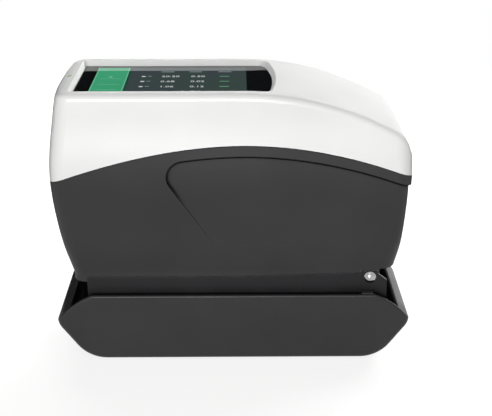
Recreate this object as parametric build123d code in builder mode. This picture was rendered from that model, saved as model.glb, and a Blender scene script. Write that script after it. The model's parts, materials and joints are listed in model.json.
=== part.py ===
from build123d import *
import os
from math import cos, radians, sin, sqrt

os.makedirs("parts", exist_ok=True)

# A hand-held spectro-densitometer: a head with a white cover and a dark shell, hinged to a base tray.
# Millimetres. +X runs to the hinge end, -Y is the near long side, Z = 0 is the surface that it stands on.

# Driving dimensions of the head's outer form
HEAD_FRONT = 93.6          # from the origin to the front end, where the head is longest
HEAD_REAR = 91.8           # from the origin to the rear end
HEAD_HALF_WIDTH = 38.5
HEAD_TOP = 148.0
WIDEST_LEVEL = 106.0       # height at which the head is longest and widest
SEAM_LEVEL = 45.6          # height where the shell meets the cradle
SEAM_HALF_WIDTH = 25.4
FRONT_TUCK = 8.6           # how much the ends draw in between the widest level and the seam
REAR_TUCK = 6.9
TOP_TUCK = 5.6             # how much the ends draw in from the widest level to the top
TOP_SIDE_TUCK = 0.7
END_RADIUS = 337.0         # bow of both ends in plan
CORNER_RADIUS = 8.0        # upright corners
RIDGE_RADIUS = 3.6         # round along the top edge
CREST_RADIUS = 155.0       # the top falls to the rear over this arc
CREST_START = 5.0
CREST_TURN = 27.0
REAR_SLOPE_END = 80.5
REAR_ROUND = 15.0
REAR_TURN = 42.0
FRONT_ROLL_START = 79.5
FRONT_ROLL_RADIUS = 20.0
FRONT_ROLL_TURN = 58.0
SECTION_LEVELS = (45.6, 58.0, 72.0, 88.0, 106.0, 122.0, 137.0, 150.0)

# Parting between cover and shell, an arch in the side view
PARTING_POINTS = [(-98.0, 99.2), (-47.0, 115.4), (9.0, 121.7), (57.0, 115.3), (98.0, 100.9)]
SEAL_THICKNESS = 0.5
SEAL_SETBACK = 0.5
WALL = 2.2

# Grip recess under the lip of the shell
LIP_HEIGHT = 4.9
GRIP_DEPTH = 1.9
GRIP_FADE_LEVEL = 64.0     # the recess runs out to nothing here
GRIP_FULL_LEVEL = 112.0
GRIP_START = -39.6         # front corner of the recess under the lip, before it is rounded
GRIP_FOOT = -8.7           # where its slanted front edge reaches the fade level
GRIP_CORNER = 9.0
GROOVE_WIDTH = 1.5         # groove that follows the recess's edge under the lip
GROOVE_DEPTH = 1.1
GROOVE_FOOT = 88.0         # height below which the groove has run out
HOLLOW_STEP_LEVEL = 130.0  # above this the wall has the same thickness all round

# Display
GLASS_FRONT = 79.4
GLASS_REAR = 20.2
GLASS_HALF_WIDTH = 31.2
GLASS_BULGE = 3.8          # the rear end of the glass is an arc
GLASS_THICKNESS = 1.1
GLASS_LEVEL = 145.0        # top face of the glass
GLASS_FRONT_CORNER = 1.6
GLASS_REAR_CORNER = 5.0
GLASS_GAP = 0.25
GASKET_THICKNESS = 0.4
LEDGE_WIDTH = 2.6          # cover's ledge that the gasket lies on
GASKET_SETBACK = 0.3
WELL_WALL = 2.0            # wall of the well that holds the glass
WELL_DEPTH = 1.6           # the ledge's thickness
POCKET_FLARE = 1.5         # how far the pocket's wall leans out
POCKET_REAR_FLARE = 3.0
LCD_FRONT = 76.2
LCD_REAR = 12.0
LCD_HALF_WIDTH = 27.4
LCD_THICKNESS = 4.2
LIGHT_X = -84.0            # status light
LIGHT_RADIUS = 1.25
LIGHT_FLANGE = 2.0
LIGHT_BOTTOM = 142.6
LIGHT_FLANGE_HEIGHT = 1.2

# Base tray
TRAY_CENTRE = 0.6
TRAY_HALF_LENGTH = 93.0
TRAY_SIDE_GAP = 3.5        # between the cradle's side and the tray's wall
TRAY_BOTTOM = 0.3
TRAY_RIM = 37.7
TRAY_TIP_LEVEL = 21.0      # where the end turns from the undercut to upright
TRAY_TIP_ROUND = 9.0
TRAY_RIM_HALF_LENGTH = 74.4
TRAY_BOTTOM_HALF_LENGTH = 77.4
TRAY_BOTTOM_ROUND = 20.0
TRAY_SHOULDER = (85.0, 31.7)   # a point on the curved end rim, from the tray's middle
TRAY_SHOULDER_END = 23.6   # height where the curved end rim reaches the tip
TRAY_WALL = 2.5
TRAY_FLOOR = 3.3
TRAY_END_LAND = 7.0        # width of the sloped rim at each end
TRAY_INNER_BOTTOM_HALF_LENGTH = 73.5
TRAY_INNER_TURN_LEVEL = 20.0
TRAY_INNER_CORNER = 3.0
RIM_BLOCK_X = (67.5, 73.5)
RIM_BLOCK_TOP = 38.5
RIM_BLOCK_BOTTOM = 26.0
TRAY_EDGE_ROUND = 3.2
TRAY_RIM_ROUND = 0.9
PAD_RADIUS = 6.0
PAD_RECESS = 1.2
PAD_SPOT = (61.0, 22.0)

# Cradle
SHEET = 1.3
CRADLE_FRONT = -76.9
CRADLE_REAR = 81.0
CRADLE_RISE_START = 5.0
CRADLE_REAR_TOP = 48.0
CRADLE_CHAMFER_START = 75.5
CRADLE_CHAMFER_END_LEVEL = 43.7
CRADLE_GAP = 0.3           # between the head and each cradle side
CRADLE_BEND = 2.0
CRADLE_LOW_FRONT = (-71.2, 14.0)   # where the lower front corner starts, and how high it is cut away
CRADLE_LOW_REAR = (71.5, 16.0)
CRADLE_SCREW_X = (-24.0, 36.0)
CRADLE_SCREW_Y = 20.0
CRADLE_SCREW_BITE = 2.0
CRADLE_SCREW_TIP_GAP = 0.3
CRADLE_RING_GAP = 1.0

# Hinge
HINGE_X = 71.9
HINGE_Z = 45.5
PIN_RADIUS = 2.0
PIN_HEAD_RADIUS = 3.2
PIN_HEAD_HEIGHT = 2.0
PIN_HEAD_RIM = 0.5
PIN_STUB_RADIUS = 1.4
PIN_STUB_LENGTH = 1.2
BUSH_WALL = 1.0
BOSS_LENGTH = 5.6
BOSS_WALL = 1.4
RUNNING_GAP = 0.05
BOSS_HOLE_GAP = 0.3
RELIEF_START = 66.0        # rear of here the shell stays clear of the cradle when it tips
RELIEF_LEVEL = 49.4
REAR_CUT_START = 77.0
REAR_CUT_LEVEL = 49.8
REAR_CUT_ROUND = 3.0
REAR_LIP_THICKNESS = 1.8
REAR_LIP_GAP = 0.3
REAR_LIP_INSET = 1.2

# Lower tub of the head
TUB_FRONT = -75.0
TUB_REAR = 77.0
TUB_BOTTOM = 9.0
TUB_TOP = 52.0
TUB_WALL = 1.8
TUB_FLOOR = 2.0
TUB_FIT = 0.1
TUB_CORNER = 5.0
FLANGE_THICKNESS = 2.0
SKIRT_BOTTOM = 42.6

# Optics
OPTIC_X = -45.0
APERTURE_RADIUS = 4.0
NOSE_RADIUS = 11.0
NOSE_BOTTOM = 6.2
NOSE_BORE = 7.0
WINDOW_RADIUS = 8.0
WINDOW_THICKNESS = 1.2
RING_BOTTOM = 0.4
RING_CONE_RADIUS = 8.0
RING_BODY_RADIUS = 10.0
RING_FLANGE_RADIUS = 13.0
RING_FLANGE = 1.2
LIGHT_WALL_INNER = 13.5
LIGHT_WALL_OUTER = 19.0
OPTICS_SCREW_CIRCLE = 16.2
LIGHT_BOARD_LEVEL = 15.0
LIGHT_BOARD = 1.2
LED_COUNT = 8
LED_CIRCLE = 9.5
LED_SIZE = 2.4
LED_HEIGHT = 1.0
BARREL_BORE = 3.6
BARREL_RADIUS = 5.0
BARREL_TOP = 40.5
BARREL_FLANGE = 2.0
BARREL_GAP = 0.4
LENS_LEVEL = 22.0
LENS_THICKNESS = 2.0
LENS_BULGE = 0.7
WHEEL_OFFSET = 11.0
WHEEL_RADIUS = 16.5
WHEEL_LEVEL = 41.6
WHEEL_THICKNESS = 2.4
HUB_RADIUS = 3.0
HUB_BOTTOM = 40.9
HUB_TOP = 45.4
FILTER_CIRCLE = 11.0
FILTER_OPENING = 2.4
FILTER_COUNT = 6
FILTER_RADIUS = 3.0
FILTER_THICKNESS = 1.6
FILTER_SEAT_THICKNESS = 0.4
SHAFT_RADIUS = 1.0
MOTOR_RADIUS = 6.0
SHAFT_TOP = 54.0
MOTOR_HEIGHT = 12.0
BRIDGE_LEVEL = 46.0
BRIDGE_THICKNESS = 2.0
BRIDGE_FRONT = -63.0
BRIDGE_REAR = -16.5
BRIDGE_HALF_WIDTH = 20.5
BRIDGE_SHAFT_GAP = 0.3
BRIDGE_LIGHT_RADIUS = 2.0
BRIDGE_POST_X = (-60.0, -19.5)
BRIDGE_POST_Y = 17.5
POST_RADIUS = 2.6
SENSOR_BOARD_LEVEL = 50.0
SENSOR_BOARD_FRONT = -56.0
SENSOR_BOARD_REAR = -41.2
SENSOR_BOARD_HALF_WIDTH = 7.0
SENSOR_BOARD = 1.2
STANDOFF_RADIUS = 1.5
STANDOFF_SPOT = (-53.0, 5.0)
DIODE_RADIUS = 2.8

# Boards, battery, fasteners
BOARD = 1.6
MAIN_BOARD_LEVEL = 118.0
MAIN_BOARD_HALF_LENGTH = 62.0
MAIN_BOARD_HALF_WIDTH = 33.6
BOARD_POST_X = 56.0
BOARD_POST_Y = 31.0
BOARD_POST_RADIUS = 2.7
SCREW_RADIUS = 1.2
SCREW_HEAD_RADIUS = 2.3
SCREW_HEAD_HEIGHT = 1.8
SCREW_GAP = 0.15
SCREW_HEAD_ROUND = 0.5
SCREW_SLOT = 0.5
SCREW_SLOT_REACH = 1.4
SCREW_BITE = 6.0           # depth of a screw's blind hole
SCREW_TIP_GAP = 0.5
BATTERY_SIZE = (66.0, 38.0, 24.0)
BATTERY_X = 24.0
BATTERY_ROUND = 3.0
CHIP_SPOTS = ((-30.0, -8.0, 14.0), (2.0, 10.0, 11.0), (30.0, -12.0, 9.0), (44.0, 12.0, 7.0))
CHIP_HEIGHT = 1.2
CASE_POST_X = (-68.5, 61.2)
CASE_POST_Y = 18.0
CASE_POST_RADIUS = 3.6
CASE_SEAT_LEVEL = 44.0
CASE_LUG_HEIGHT = 7.0
FRONT_LUG = (-83.5, 24.0)
REAR_LUG = (72.0, 29.0)
LUG_HALF_SIZE = 4.0
COVER_LUG_LEVEL = 92.0
COVER_LUG_HEIGHT = 4.0
COVER_POST_RADIUS = 3.2

# Rear end controls
IO_BOARD_X = 76.4
IO_BOARD_HALF_WIDTH = 15.0
IO_BOARD_BOTTOM = 56.0
IO_BOARD_TOP = 94.0
IO_POST_Y = 11.0
IO_POST_LEVELS = (60.0, 90.0)
IO_POST_RADIUS = 2.6
BUTTON_LEVEL = 82.0
BUTTON_RADIUS = 4.6
BUTTON_FLANGE = 6.0
BUTTON_TRAVEL = 0.8
BUTTON_PROUD = 0.9
BUTTON_EDGE_ROUND = 0.5
BUTTON_FLANGE_SETBACK = 0.4
BUTTON_FLANGE_THICKNESS = 1.6
SWITCH_SIZE = 6.0
SWITCH_HEIGHT = 3.5
SWITCH_NUB_RADIUS = 1.7
SWITCH_GAP = 0.3           # left between button and switch when the button is fully in
SOCKET_LEVEL = 65.0
SOCKET_WIDTH = 9.0
SOCKET_HEIGHT = 3.3
SOCKET_WALL = 0.35
SOCKET_GAP = 0.15
SOCKET_DEPTH = 6.5
SOCKET_TONGUE = 0.7
SOCKET_CORNER_SHARE = 0.49  # corner radius over height; 0.5 would be a full half round
SOCKET_SETBACK = 0.4

# Trigger
TRIGGER_X = -69.0
TRIGGER_RADIUS = 2.0
TRIGGER_TRAVEL = 1.0
TRIGGER_REACH = 3.0        # how far the plunger stands above its boss
TRIGGER_BOSS_RADIUS = 4.0
TRIGGER_BOSS_HEIGHT = 1.0  # above the tub's floor
TRIGGER_COLLAR_RADIUS = 3.2
TRIGGER_COLLAR_GAP = 0.4
TRIGGER_COLLAR = 1.2
TRIGGER_SWITCH_WIDTH = 6.0
TRIGGER_SWITCH_HEIGHT = 5.5
TRIGGER_SWITCH_REAR = -65.0
TRIGGER_SWITCH_GAP = 0.6

# Small stops
BUMPER_X = (-60.0, 40.0)
BUMPER_Y = 9.0
BUMPER_RADIUS = 4.0
REST_GAP = 0.3
BUMPER_ROUND = 0.8


def bow_at(half_width):
    """How far a bowed end falls back from its middle at this distance off the middle plane."""
    return END_RADIUS - sqrt(END_RADIUS ** 2 - half_width ** 2)


def head_size(level):
    """Front reach, rear reach and half width of the head's outer form at one height."""
    if level < WIDEST_LEVEL:
        fall = (WIDEST_LEVEL - level) / (WIDEST_LEVEL - SEAM_LEVEL)
        side = (HEAD_HALF_WIDTH - SEAM_HALF_WIDTH) * fall ** 1.15
        return HEAD_FRONT - FRONT_TUCK * fall ** 2, HEAD_REAR - REAR_TUCK * fall ** 2, HEAD_HALF_WIDTH - side
    rise = (level - WIDEST_LEVEL) / (HEAD_TOP - WIDEST_LEVEL)
    end = TOP_TUCK * rise ** 1.5
    return HEAD_FRONT - end, HEAD_REAR - end, HEAD_HALF_WIDTH - TOP_SIDE_TUCK * rise ** 2


def grip_depth(level):
    """Depth of the grip recess at one height; below the fade level it is negative and cuts nothing."""
    return GRIP_DEPTH * (level - GRIP_FADE_LEVEL) / (GRIP_FULL_LEVEL - GRIP_FADE_LEVEL)


def groove_depth(level):
    """Depth of the groove's floor at one height, measured from the outer form."""
    share = min(max(level - GROOVE_FOOT, 0) / (WIDEST_LEVEL - GROOVE_FOOT), 1)
    return grip_depth(level) + GROOVE_DEPTH * share


def hollow_inset(level):
    """How far inside the outer form the hollow lies at one height."""
    if level > HOLLOW_STEP_LEVEL:
        return WALL
    return WALL + max(grip_depth(min(level, GRIP_FULL_LEVEL)), 0)


def head_outline(level, inset):
    """The head's outline at one height, drawn in by inset."""
    front, rear, half = (size - inset for size in head_size(level))
    bow = bow_at(half)
    with BuildSketch(Plane.XY.offset(level)) as outline:
        with BuildLine():
            Line((bow - front, -half), (rear - bow, -half))
            ThreePointArc((rear - bow, -half), (rear, 0), (rear - bow, half))
            Line((rear - bow, half), (bow - front, half))
            ThreePointArc((bow - front, half), (-front, 0), (bow - front, -half))
        make_face()
        fillet(outline.vertices(), radius=CORNER_RADIUS - max(inset, 0))
    return outline.sketch


def head_sections(inset_at):
    """The head's outlines from the seam to over its top, drawn in by inset_at(level)."""
    return [head_outline(level, inset_at(level)) for level in SECTION_LEVELS]


def top_profile(drop):
    """The side view of everything under the head's top, lowered by drop."""
    top = HEAD_TOP - drop
    with BuildSketch(Plane.XZ) as profile:
        with BuildLine():
            roll = JernArc((-FRONT_ROLL_START, top), (-1, 0), FRONT_ROLL_RADIUS - drop, FRONT_ROLL_TURN)
            Line((-FRONT_ROLL_START, top), (CREST_START, top))
            crest = JernArc((CREST_START, top), (1, 0), CREST_RADIUS - drop, -CREST_TURN)
            slope_length = (REAR_SLOPE_END - (crest @ 1).X) / (crest % 1).X
            slope = Line(crest @ 1, crest @ 1 + (crest % 1) * slope_length)
            rear = JernArc(slope @ 1, slope % 1, REAR_ROUND - drop, -REAR_TURN)
            fall = Line(rear @ 1, rear @ 1 + (rear % 1) * HEAD_TOP)
            Polyline(fall @ 1, ((roll @ 1).X, (fall @ 1).Y), roll @ 1)
        make_face()
    return profile.sketch


def below_parting(drop):
    """The side view of everything under the parting arch, lowered by drop."""
    with BuildSketch(Plane.XZ) as profile:
        with BuildLine():
            arch = Spline(*[(x, z - drop) for x, z in PARTING_POINTS])
            Polyline(arch @ 1, ((arch @ 1).X, 0), ((arch @ 0).X, 0), arch @ 0)
        make_face()
    return profile.sketch


def grip_region(inset):
    """The side view of the grip recess, with its lip and its slanted front edge drawn in by inset."""
    start = GRIP_START + inset
    foot = GRIP_FOOT + inset
    with BuildSketch(Plane.XZ) as region:
        add(below_parting(SEAL_THICKNESS + LIP_HEIGHT + inset))
        with BuildLine():
            Polyline((start, HEAD_TOP), (start, GRIP_FULL_LEVEL), (foot, GRIP_FADE_LEVEL),
                     (HEAD_REAR + WALL, GRIP_FADE_LEVEL), (HEAD_REAR + WALL, HEAD_TOP), close=True)
        make_face(mode=Mode.INTERSECT)
        fillet(region.vertices().sort_by(Axis.X)[0], radius=GRIP_CORNER - inset)
    return region.sketch


def glass_outline(level, margin, rear_margin):
    """The display's outline at one height, grown by margin, and by rear_margin at its rounded rear end."""
    front = GLASS_FRONT + margin
    rear = GLASS_REAR + rear_margin
    half = GLASS_HALF_WIDTH + margin
    shoulder = rear - GLASS_BULGE
    with BuildSketch(Plane.XY.offset(level)) as outline:
        with BuildLine():
            Polyline((shoulder, -half), (-front, -half), (-front, half), (shoulder, half))
            ThreePointArc((shoulder, half), (rear, 0), (shoulder, -half))
        make_face()
        corners = outline.vertices().group_by(Axis.X)
        fillet(corners[0], radius=GLASS_FRONT_CORNER)
        fillet(outline.vertices().group_by(Axis.X)[-1], radius=GLASS_REAR_CORNER)
    return outline.sketch


def rim_edges(faces):
    """The edges round the outside of a patch of faces: those that only one of the faces has."""
    edges = [edge for face in faces for edge in face.edges()]
    return ShapeList([edge for edge in edges if sum(edge.is_same(other) for other in edges) == 1])


def discs(plane, points, radius, height):
    """Discs of one radius that stand on a plane at the given points."""
    with BuildPart() as group:
        with BuildSketch(plane):
            with Locations(*points):
                Circle(radius)
        extrude(amount=height)
    return group.part


def boxes(plane, points, length, width, height):
    """Blocks of one size that stand on a plane at the given points."""
    with BuildPart() as group:
        with BuildSketch(plane):
            with Locations(*points):
                Rectangle(length, width)
        extrude(amount=height)
    return group.part


def screws(seat, points, length):
    """Pan-head screws: the heads lie behind the seat plane and the shanks run along its normal."""
    with BuildPart() as group:
        add(discs(seat, points, SCREW_HEAD_RADIUS, -SCREW_HEAD_HEIGHT))
        fillet(group.edges().group_by(Axis(seat.origin, seat.z_dir))[0], radius=SCREW_HEAD_ROUND)
        add(boxes(seat.offset(-SCREW_HEAD_HEIGHT), points, 2 * SCREW_SLOT_REACH, SCREW_SLOT, SCREW_SLOT),
            mode=Mode.SUBTRACT)
        add(discs(seat, points, SCREW_RADIUS, length))
    return group.part


def four(x, y):
    """The four points at plus and minus x and y."""
    return [(-x, -y), (x, -y), (x, y), (-x, y)]


def mirrored(points):
    """Each point and its mirror image across the middle plane."""
    return [(x, side * y) for x, y in points for side in (-1, 1)]


def block(low, high):
    """A block between its lowest and its highest corner."""
    with BuildPart() as solid:
        with Locations(low):
            Box(*(b - a for a, b in zip(low, high)), align=Align.MIN)
    return solid.part


def hinge_disc(radius, low, high):
    """A disc about the hinge line from y = low to y = high."""
    with BuildPart() as solid:
        with BuildSketch(Plane(origin=(HINGE_X, low, HINGE_Z), x_dir=(1, 0, 0), z_dir=(0, 1, 0))):
            Circle(radius)
        extrude(amount=high - low)
    return solid.part


def hinge_dome(side):
    """A domed head on the outside of the cradle, on the near side (-1) or the far side (1)."""
    seat = Plane(origin=(HINGE_X, side * sheet_outer, HINGE_Z), x_dir=(0, side, 0), z_dir=(side, 0, 0))
    with BuildPart() as solid:
        with BuildSketch(seat):
            with BuildLine():
                Polyline((PIN_HEAD_HEIGHT, 0), (0, 0), (0, PIN_HEAD_RADIUS), (PIN_HEAD_RIM, PIN_HEAD_RADIUS))
                TangentArc((PIN_HEAD_HEIGHT, 0), (PIN_HEAD_RIM, PIN_HEAD_RADIUS), tangent=(0, 1))
            make_face()
        revolve(axis=Axis((HINGE_X, 0, HINGE_Z), (0, 1, 0)))
    return solid.part


def level_plane(height, facing=1):
    """A level plane that faces up (1) or down (-1)."""
    return Plane(origin=(0, 0, height), x_dir=(1, 0, 0), z_dir=(0, 0, facing))


# Values that follow from the driving dimensions
across = 2 * HEAD_HALF_WIDTH
glass_bottom = GLASS_LEVEL - GLASS_THICKNESS
ledge_level = glass_bottom - GASKET_THICKNESS
skirt_drop = SEAM_LEVEL - SKIRT_BOTTOM
tub_half_width = SEAM_HALF_WIDTH - WALL - TUB_FIT
tub_inner_half_width = tub_half_width - TUB_WALL
tub_floor_top = TUB_BOTTOM + TUB_FLOOR
sheet_inner = SEAM_HALF_WIDTH + CRADLE_GAP
sheet_outer = sheet_inner + SHEET
tray_inner_half_width = sheet_outer + TRAY_SIDE_GAP
tray_half_width = tray_inner_half_width + TRAY_WALL
tray_floor_top = TRAY_BOTTOM + TRAY_FLOOR
trigger_boss_top = tub_floor_top + TRIGGER_BOSS_HEIGHT
trigger_top = trigger_boss_top + TRIGGER_REACH
cradle_floor_top = tray_floor_top + SHEET
light_board_top = LIGHT_BOARD_LEVEL + LIGHT_BOARD
barrel_flange_top = light_board_top + BARREL_FLANGE
bridge_top = BRIDGE_LEVEL + BRIDGE_THICKNESS
main_board_top = MAIN_BOARD_LEVEL + BOARD
cover_lug_top = COVER_LUG_LEVEL + COVER_LUG_HEIGHT
bush_bore = PIN_RADIUS + RUNNING_GAP
bush_radius = bush_bore + BUSH_WALL
boss_radius = bush_radius + BOSS_WALL
screw_hole = SCREW_RADIUS + SCREW_GAP
case_posts = mirrored([(x, CASE_POST_Y) for x in CASE_POST_X])
bridge_posts = mirrored([(x, BRIDGE_POST_Y) for x in BRIDGE_POST_X])
board_posts = four(BOARD_POST_X, BOARD_POST_Y)
cover_posts = mirrored([FRONT_LUG, REAR_LUG])
optic_axis = [(OPTIC_X, 0)]
wheel_axis = [(OPTIC_X + WHEEL_OFFSET, 0)]
trigger_spot = [(TRIGGER_X, 0)]
standoff_spots = mirrored([STANDOFF_SPOT])
pad_spots = four(*PAD_SPOT)
cradle_screw_spots = mirrored([(x, CRADLE_SCREW_Y) for x in CRADLE_SCREW_X])
tray_inner_half_length = TRAY_HALF_LENGTH - TRAY_END_LAND
lens_radius = (BARREL_BORE ** 2 + LENS_BULGE ** 2) / (2 * LENS_BULGE)
filter_seat = WHEEL_LEVEL + FILTER_SEAT_THICKNESS
filter_spots = [
    (OPTIC_X + WHEEL_OFFSET + FILTER_CIRCLE * cos(radians(turn)), FILTER_CIRCLE * sin(radians(turn)))
    for turn in range(180, 540, 360 // FILTER_COUNT)
]
optics_screw_spots = [
    (OPTIC_X + OPTICS_SCREW_CIRCLE * cos(radians(turn)), OPTICS_SCREW_CIRCLE * sin(radians(turn)))
    for turn in (0, 120, 240)
]
io_plane = Plane(origin=(IO_BOARD_X, 0, 0), x_dir=(0, 1, 0), z_dir=(1, 0, 0))
io_spots = [(y, z) for y in (-IO_POST_Y, IO_POST_Y) for z in IO_POST_LEVELS]
button_spot = [(0, BUTTON_LEVEL)]
button_face = head_size(BUTTON_LEVEL)[1] - grip_depth(BUTTON_LEVEL) + BUTTON_PROUD
button_low_level = BUTTON_LEVEL - BUTTON_FLANGE
button_flange_face = (head_size(button_low_level)[1] - grip_depth(button_low_level) - WALL
                      - BUTTON_FLANGE_SETBACK)
socket_face = head_size(SOCKET_LEVEL)[1] - SOCKET_SETBACK

# Outer form of the head, with the ridge rounded
with BuildPart() as head_outer:
    loft(head_sections(lambda level: 0.0))
    extrude(top_profile(0), amount=across, both=True, mode=Mode.INTERSECT)
    top_faces = head_outer.faces().filter_by(lambda face: face.normal_at().Z > 0.3)
    fillet(rim_edges(top_faces), radius=RIDGE_RADIUS)
    extrude(head_outline(SEAM_LEVEL, 0), amount=-skirt_drop)

# Hollow of the head, which lies further in at the height of the grip recess, to keep a wall there
with BuildPart() as head_hollow:
    loft(head_sections(hollow_inset))
    extrude(top_profile(WALL), amount=across, both=True, mode=Mode.INTERSECT)
    extrude(head_outline(SEAM_LEVEL, WALL), amount=-skirt_drop)

# The slimmer form that shows inside the grip recess, and what the recess takes away
with BuildPart() as grip_form:
    loft(head_sections(grip_depth))
    extrude(head_outline(SEAM_LEVEL, grip_depth(SEAM_LEVEL)), amount=-skirt_drop)

with BuildPart() as grip_cut:
    extrude(grip_region(0), amount=across, both=True)
    add(grip_form.part, mode=Mode.SUBTRACT)

with BuildPart() as groove_form:
    loft(head_sections(groove_depth))

with BuildPart() as groove_cut:
    extrude(grip_region(0), amount=across, both=True)
    extrude(grip_region(GROOVE_WIDTH), amount=across, both=True, mode=Mode.SUBTRACT)
    add(block((GRIP_START, -across, GROOVE_FOOT), (HEAD_REAR, across, HEAD_TOP)), mode=Mode.INTERSECT)
    add(groove_form.part, mode=Mode.SUBTRACT)

# White cover, with the display's pocket, the well under it and the posts that hang inside
with BuildPart() as cover_inside:
    extrude(glass_outline(ledge_level - WELL_DEPTH, WELL_WALL, WELL_WALL),
            amount=WELL_DEPTH + HEAD_TOP - ledge_level)
    add(discs(level_plane(main_board_top), board_posts, BOARD_POST_RADIUS, HEAD_TOP - main_board_top))
    add(discs(level_plane(cover_lug_top), cover_posts, COVER_POST_RADIUS, HEAD_TOP - cover_lug_top))
    add(head_outer.part, mode=Mode.INTERSECT)

with BuildPart() as top_cover:
    add(head_outer.part)
    add(head_hollow.part, mode=Mode.SUBTRACT)
    extrude(below_parting(0), amount=across, both=True, mode=Mode.SUBTRACT)
    add(cover_inside.part)
    extrude(glass_outline(ledge_level, GLASS_GAP, GLASS_GAP), amount=GLASS_LEVEL - ledge_level,
            mode=Mode.SUBTRACT)
    loft([glass_outline(GLASS_LEVEL, GLASS_GAP, GLASS_GAP),
          glass_outline(HEAD_TOP, POCKET_FLARE, POCKET_REAR_FLARE)], ruled=True, mode=Mode.SUBTRACT)
    extrude(glass_outline(ledge_level - WELL_DEPTH, -LEDGE_WIDTH, -LEDGE_WIDTH), amount=WELL_DEPTH,
            mode=Mode.SUBTRACT)
    add(discs(level_plane(main_board_top), board_posts, SCREW_RADIUS, SCREW_BITE), mode=Mode.SUBTRACT)
    add(discs(level_plane(cover_lug_top), cover_posts, SCREW_RADIUS, SCREW_BITE), mode=Mode.SUBTRACT)
    add(discs(level_plane(LIGHT_BOTTOM), [(LIGHT_X, 0)], LIGHT_RADIUS, HEAD_TOP - LIGHT_BOTTOM),
        mode=Mode.SUBTRACT)

top_cover.part.label = "top_cover"
export_step(top_cover.part, "parts/top_cover.step")

# Lugs and posts inside the shell, run out to its wall
with BuildPart() as shell_inside:
    for side in (-1, 1):
        add(block((-HEAD_FRONT, side * FRONT_LUG[1] - LUG_HALF_SIZE, COVER_LUG_LEVEL),
                  (FRONT_LUG[0] + LUG_HALF_SIZE, side * FRONT_LUG[1] + LUG_HALF_SIZE, cover_lug_top)))
        outward = sorted((side * (REAR_LUG[1] - LUG_HALF_SIZE), side * HEAD_HALF_WIDTH))
        add(block((REAR_LUG[0] - LUG_HALF_SIZE, outward[0], COVER_LUG_LEVEL),
                  (REAR_LUG[0] + LUG_HALF_SIZE, outward[1], cover_lug_top)))
        outward = sorted((side * (CASE_POST_Y - LUG_HALF_SIZE), side * HEAD_HALF_WIDTH))
        for x in CASE_POST_X:
            add(block((x - LUG_HALF_SIZE, outward[0], TUB_TOP),
                      (x + LUG_HALF_SIZE, outward[1], TUB_TOP + CASE_LUG_HEIGHT)))
    add(discs(io_plane.offset(BOARD), io_spots, IO_POST_RADIUS, HEAD_REAR - IO_BOARD_X))
    add(grip_form.part, mode=Mode.INTERSECT)
    add(head_outer.part, mode=Mode.INTERSECT)

# Dark shell
with BuildPart() as main_shell:
    add(head_outer.part)
    extrude(below_parting(SEAL_THICKNESS), amount=across, both=True, mode=Mode.INTERSECT)
    add(grip_cut.part, mode=Mode.SUBTRACT)
    add(groove_cut.part, mode=Mode.SUBTRACT)
    add(head_hollow.part, mode=Mode.SUBTRACT)
    add(shell_inside.part)
    for side in (-1, 1):
        flank = sorted((side * SEAM_HALF_WIDTH, side * HEAD_HALF_WIDTH))
        add(block((RELIEF_START, flank[0], 0), (HEAD_REAR, flank[1], RELIEF_LEVEL)), mode=Mode.SUBTRACT)
    with BuildSketch(Plane.XZ):
        with BuildLine():
            rear_corner = head_size(REAR_CUT_LEVEL)[1]
            turn = JernArc((rear_corner - REAR_CUT_ROUND, REAR_CUT_LEVEL), (1, 0), REAR_CUT_ROUND, 90)
            Polyline(turn @ 1, (HEAD_REAR, (turn @ 1).Y), (HEAD_REAR, 0), (REAR_CUT_START, 0),
                     (REAR_CUT_START, REAR_CUT_LEVEL), turn @ 0)
        make_face()
    extrude(amount=across, both=True, mode=Mode.SUBTRACT)
    add(hinge_disc(boss_radius + BOSS_HOLE_GAP, -across, across), mode=Mode.SUBTRACT)
    add(discs(io_plane, button_spot, BUTTON_RADIUS + RUNNING_GAP, HEAD_REAR), mode=Mode.SUBTRACT)
    with BuildSketch(io_plane.offset(BOARD)):
        with Locations((0, SOCKET_LEVEL)):
            RectangleRounded(SOCKET_WIDTH + 2 * SOCKET_GAP, SOCKET_HEIGHT + 2 * SOCKET_GAP,
                             SOCKET_HEIGHT * SOCKET_CORNER_SHARE)
    extrude(amount=HEAD_REAR, mode=Mode.SUBTRACT)
    add(discs(io_plane.offset(BOARD), io_spots, SCREW_RADIUS, SCREW_BITE), mode=Mode.SUBTRACT)
    add(discs(level_plane(COVER_LUG_LEVEL), cover_posts, screw_hole, COVER_LUG_HEIGHT), mode=Mode.SUBTRACT)
    add(discs(level_plane(TUB_TOP), case_posts, SCREW_RADIUS, SCREW_BITE), mode=Mode.SUBTRACT)

main_shell.part.label = "main_shell"
export_step(main_shell.part, "parts/main_shell.step")

# Seal along the parting
with BuildPart() as parting_seal:
    loft(head_sections(lambda level: SEAL_SETBACK))
    extrude(below_parting(0), amount=across, both=True, mode=Mode.INTERSECT)
    extrude(below_parting(SEAL_THICKNESS), amount=across, both=True, mode=Mode.SUBTRACT)
    add(head_hollow.part, mode=Mode.SUBTRACT)

parting_seal.part.label = "parting_seal"
export_step(parting_seal.part, "parts/parting_seal.step")

# Display
with BuildPart() as display_glass:
    extrude(glass_outline(glass_bottom, 0, 0), amount=GLASS_THICKNESS)

display_glass.part.label = "display_glass"
export_step(display_glass.part, "parts/display_glass.step")

with BuildPart() as display_gasket:
    extrude(glass_outline(ledge_level, -GASKET_SETBACK, -GASKET_SETBACK), amount=GASKET_THICKNESS)
    extrude(glass_outline(ledge_level, -LEDGE_WIDTH, -LEDGE_WIDTH), amount=GASKET_THICKNESS,
            mode=Mode.SUBTRACT)

display_gasket.part.label = "display_gasket"
export_step(display_gasket.part, "parts/display_gasket.step")

with BuildPart() as lcd_module:
    add(block((-LCD_FRONT, -LCD_HALF_WIDTH, glass_bottom - LCD_THICKNESS),
              (LCD_REAR, LCD_HALF_WIDTH, glass_bottom)))

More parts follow.
